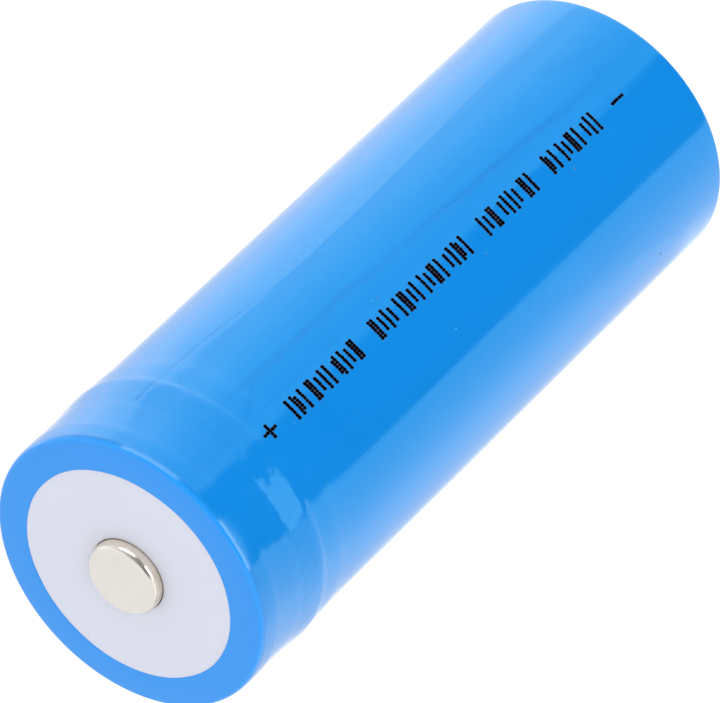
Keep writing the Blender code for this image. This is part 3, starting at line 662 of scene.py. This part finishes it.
rng = np.random.RandomState(2607)
places = []
for s_start, cell in marks:
    rows = len(cell)
    for ri, row in enumerate(cell):
        for col, ch in enumerate(row):
            if ch != "#":
                continue
            js, jt, jr = rng.uniform(-0.018, 0.018), rng.uniform(-0.014, 0.014), rng.uniform(0.95, 1.06)
            s = s_start + col * COL_P + js
            t = MARK_THETA + math.degrees(((ri - (rows - 1) / 2.0) * ROW_P + jt) / BODY_R)
            places.append((s, t, 0.200 * jr, 0.176 * jr))
ink = dots_mesh("polarity_and_tick_marks", places, "sleeve_film", ink_material())

# dust and a few pale nibs in the film
nibs = [(54.3, 39.6, 0.10, 0.09), (40.6, 39.6, 0.08, 0.07), (28.8, 24.2, 0.08, 0.07), (60.9, 96.4, 0.12, 0.10),
        (28.2, 23.6, 0.05, 0.05), (13.0, 36.0, 0.05, 0.05), (47.2, -4.0, 0.05, 0.05), (33.0, 52.0, 0.05, 0.05),
        (19.0, 150.0, 0.08, 0.07), (36.0, -110.0, 0.07, 0.06), (52.0, -160.0, 0.08, 0.07), (61.0, -60.0, 0.06, 0.05)]
specks = dots_mesh("film_nibs", nibs, "sleeve_film", nib_material(), sides=8, proud=0.014)

# ----------------------------------------------------- looks of the CAD nodes


def plain_material(name, kind, base, rough):
    mat, n, b = new_material("look_" + name)
    co = n.object_coords()
    if kind == "metal":
        cloud = n.noise(n.stretch(co, (1.0, 0.25, 1.0)), 700.0, 4.0, 0.6)
        b.inputs["Metallic"].default_value = 1.0
        spread, deep = (0.93, 1.04), 0.15
    elif kind == "paper":
        cloud = n.noise(co, 1800.0, 6.0, 0.7)
        spread, deep = (0.86, 1.08), 0.5
    elif kind == "powder":
        cloud = n.noise(co, 6000.0, 5.0, 0.75)
        spread, deep = (0.75, 1.3), 0.6
    else:
        cloud = n.noise(co, 420.0, 4.0, 0.55)
        spread, deep = (0.93, 1.05), 0.12
    n.link(n.ramp(cloud, [(0.3, shaded(base, spread[0])), (0.7, shaded(base, spread[1]))]), b.inputs["Base Color"])
    n.link(n.span(cloud, 0.3, 0.7, rough * 0.9, min(1.0, rough * 1.15)), b.inputs["Roughness"])
    n.link(n.bump(cloud, deep, 0.00003), b.inputs["Normal"])
    return mat


looks = {
    "joint_band": ("plastic", (0.62, 0.36, 0.06), 0.33),
    "header_gasket": ("plastic", (0.020, 0.020, 0.022), 0.5),
    "top_cap": ("metal", (0.66, 0.65, 0.62), 0.25),
    "ptc_ring": ("powder", (0.10, 0.10, 0.11), 0.45),
    "vent_disc_rim": ("metal", (0.78, 0.79, 0.80), 0.33),
    "vent_disc_dome": ("metal", (0.80, 0.81, 0.82), 0.30),
    "vent_insulator_ring": ("paper", (0.75, 0.76, 0.74), 0.5),
    "vent_contact_plate": ("metal", (0.74, 0.75, 0.77), 0.38),
    "positive_tab": ("metal", (0.80, 0.81, 0.83), 0.35),
    "upper_insulator": ("paper", (0.42, 0.27, 0.13), 0.6),
    "separator_inner": ("plastic", (0.86, 0.87, 0.88), 0.55),
    "anode_strip": ("powder", (0.060, 0.060, 0.065), 0.6),
    "separator_outer": ("plastic", (0.84, 0.85, 0.86), 0.55),
    "cathode_strip": ("powder", (0.035, 0.035, 0.040), 0.55),
    "roll_tape": ("plastic", (0.06, 0.32, 0.12), 0.3),
    "centre_pin": ("metal", (0.60, 0.60, 0.60), 0.35),
    "lower_insulator": ("paper", (0.40, 0.26, 0.13), 0.6),
    "negative_tab": ("metal", (0.66, 0.64, 0.60), 0.32),
    "crimp_insulator_ring": ("paper", (0.55, 0.58, 0.48), 0.8),
    "board_carrier_ring": ("plastic", (0.80, 0.81, 0.82), 0.45),
    "protection_board": ("paper", (0.02, 0.20, 0.07), 0.4),
    "positive_link_tab": ("metal", (0.66, 0.64, 0.60), 0.32),
    "negative_link_tab": ("metal", (0.66, 0.64, 0.60), 0.32),
    "control_chip": ("powder", (0.020, 0.020, 0.020), 0.5),
    "switch_chip_left": ("powder", (0.020, 0.020, 0.020), 0.5),
    "switch_chip_right": ("powder", (0.020, 0.020, 0.020), 0.5),
    "sense_resistor": ("plastic", (0.030, 0.030, 0.035), 0.4),
    "filter_resistor": ("plastic", (0.030, 0.030, 0.035), 0.4),
    "filter_capacitor": ("powder", (0.45, 0.33, 0.20), 0.45),
}
for node_name, obj in sorted(nodes.items()):
    if node_name in looks:
        kind, base, rough = looks[node_name]
        obj.data.materials.clear()
        obj.data.materials.append(plain_material(node_name, kind, base, rough))

# ------------------------------------------------------------------ the camera
AZ, EL = math.radians(33.6273), math.radians(39.5630)
back = Vector((math.sin(AZ) * math.cos(EL), -math.cos(AZ) * math.cos(EL), math.sin(EL)))
right = Vector((math.cos(AZ), math.sin(AZ), 0.0))
up = back.cross(right)
at = (Vector((0.0, 0.525, AXIS_Z)) - 0.6815 * right - 0.5799 * up + 720.0 * back) * MM
cam_data = bpy.data.cameras.new("camera")
cam_data.sensor_width = 36.0
cam_data.lens = 8561.6 * 36.0 / 720.0
cam_data.clip_start = 0.01
cam = bpy.data.objects.new("camera", cam_data)
scene.collection.objects.link(cam)
cam.matrix_world = Matrix((
    (right.x, up.x, back.x, at.x), (right.y, up.y, back.y, at.y), (right.z, up.z, back.z, at.z), (0.0, 0.0, 0.0, 1.0)))
scene.camera = cam

# ------------------------------------------------------- floor and soft light
LIGHT = 2.6                # the ramps below are shares of this radiance


def sweep_material():
    """White floor that gives its own soft light; its glow is painted a little dimmer close to the cell, as painted
    shade where the cell keeps light from it."""
    mat = bpy.data.materials.new("floor_white")
    mat.use_nodes = True
    n = Nodes(mat.node_tree)
    mat.node_tree.nodes.clear()
    out = n.add("ShaderNodeOutputMaterial")
    x, y, z = n.split(n.object_coords())
    # across the cell, at its length: x from -0.2 to 0.2 m
    # painted shade: the glow dips close to the cell on either side
    across = n.ramp(n.span(x, -0.20, 0.20, 0.0, 1.0), [
        (0.0, 2.55 / LIGHT), (0.15, 1.85 / LIGHT), (0.275, 1.30 / LIGHT), (0.375, 1.06 / LIGHT), (0.410, 1.03 / LIGHT), (0.4325, 1.02 / LIGHT),
        (0.475, 1.02 / LIGHT), (0.490, 1.04 / LIGHT), (0.505, 1.45 / LIGHT), (0.520, 1.30 / LIGHT), (0.528, 1.04 / LIGHT),
        (0.536, 1.22 / LIGHT), (0.555, 1.72 / LIGHT), (0.595, 1.66 / LIGHT), (0.65, 1.58 / LIGHT),
        (0.86, 1.22 / LIGHT), (1.0, 1.15 / LIGHT)])
    ahead = n.span(y, -0.0355, -0.0335, 1.0, 0.0, True)
    behind = n.span(y, 0.0365, 0.041, 0.0, 1.0, True)
    past = n.ramp(n.span(x, -0.40, 0.40, 0.0, 1.0), [
        (0.0, 1.76 / LIGHT), (0.25, 1.60 / LIGHT), (0.385, 1.37 / LIGHT), (0.435, 1.19 / LIGHT), (0.465, 1.10 / LIGHT),
        (0.50, 1.30 / LIGHT), (0.54, 1.55 / LIGHT), (1.0, 1.55 / LIGHT)])
    ends = n.mix(ahead, past, (1.13 / LIGHT,) * 3)
    tone = n.mix(n.math("MAXIMUM", ahead, behind), across, ends)
    # a narrow painted shadow where the cell touches the floor
    painted_contact_shadow = n.math("MULTIPLY", n.span(n.math("ABSOLUTE", x), 0.0028, 0.0056, 1.0, 0.0, True),
                   n.span(n.math("ABSOLUTE", y), 0.025, 0.031, 1.0, 0.0, True))
    tone = n.mix(n.math("MULTIPLY", painted_contact_shadow, 0.75), tone, (0.25 / LIGHT,) * 3)
    em = n.add("ShaderNodeEmission")
    em.inputs["Strength"].default_value = LIGHT
    n.link(tone, em.inputs["Color"])
    n.link(em.outputs[0], out.inputs[0])
    return mat


floor_mesh = bpy.data.meshes.new("floor")
floor_mesh.from_pydata([(-3, -3, 0), (0.6, -3, 0), (0.6, 3, 0), (-3, 3, 0)], [], [(0, 1, 2, 3)])
floor = bpy.data.objects.new("floor", floor_mesh)
scene.collection.objects.link(floor)
floor_mesh.materials.append(sweep_material())

world = bpy.data.worlds.new("studio")
scene.world = world
world.use_nodes = True
world.node_tree.nodes.clear()
n = Nodes(world.node_tree)
wx, wy, wz = n.split(n.add("ShaderNodeTexCoord").outputs["Generated"])
turn = n.span(n.math("ARCTAN2", wx, wz), -math.pi, math.pi, 0.0, 1.0)


def deg(a):
    return 0.5 + a / 360.0


rear_half = n.ramp(turn, [(deg(a), v / LIGHT) for a, v in (
    (-180, 1.6), (-100, 1.85), (-92, 1.90), (-80, 2.05), (-66, 2.32), (-51, 2.62), (-49.5, 1.92), (-34, 2.15), (-14, 1.72), (6, 1.25),
    (9, 1.05), (12, 1.12), (24, 1.28), (29.5, 0.0), (92, 0.0), (93, 1.3), (180, 1.6))])
front_half = n.ramp(turn, [(deg(a), v / LIGHT) for a, v in (
    (-180, 1.6), (-90, 1.4), (-60, 1.1), (-30, 0.80), (0, 0.48), (30, 0.33), (60, 0.30), (84, 0.32), (90, 1.2), (180, 1.6))])
part = n.span(wy, 0.30, 0.48, 0.0, 1.0, True)
sky = n.mix(part, front_half, rear_half)
sky = n.mix(n.span(wy, -0.90, -0.97, 0.0, 1.0, True), sky, (0.85 / LIGHT,) * 3)
seen = n.add("ShaderNodeLightPath").outputs["Is Camera Ray"]
tone = n.mix(seen, sky, (1.0, 1.0, 1.0))
bg = n.add("ShaderNodeBackground")
bg.inputs["Strength"].default_value = LIGHT
n.link(tone, bg.inputs["Color"])
wo = n.add("ShaderNodeOutputWorld")
n.link(bg.outputs[0], wo.inputs[0])


def softbox(name, centre, aim, width, height, radiance):
    """A rectangular area light; width lies level, radiance is what a mirror would show."""
    data = bpy.data.lights.new(name, "AREA")
    data.shape = "RECTANGLE"
    data.size, data.size_y = width, height
    data.energy = radiance * math.pi * width * height
    obj = bpy.data.objects.new(name, data)
    scene.collection.objects.link(obj)
    z = (Vector(centre) - Vector(aim)).normalized()
    x = Vector((0, 1, 0)).cross(z).normalized()
    y = z.cross(x)
    obj.matrix_world = Matrix(((x.x, y.x, z.x, centre[0]), (x.y, y.y, z.y, centre[1]), (x.z, y.z, z.z, centre[2]), (0, 0, 0, 1)))
    obj.visible_camera = False
    return obj


mid = (0.0, -0.02, 0.013)


def direction(x, y, z, dist):
    v = Vector((x, y, z)).normalized() * dist
    return (mid[0] + v.x, mid[1] + v.y, mid[2] + v.z)


softbox("light_over", (-0.11, 0.035, 0.66), mid, 0.52, 0.46, 3.3)
softbox("light_right", (0.525, 0.205, 0.215), mid, 0.40, 0.24, 2.4)
softbox("light_edge", (0.550, 0.010, 0.240), mid, 0.40, 0.23, 4.3)
fill = softbox("light_fill", (0.50, -0.38, 0.50), mid, 0.40, 0.40, 3.6)
fill.visible_glossy = False
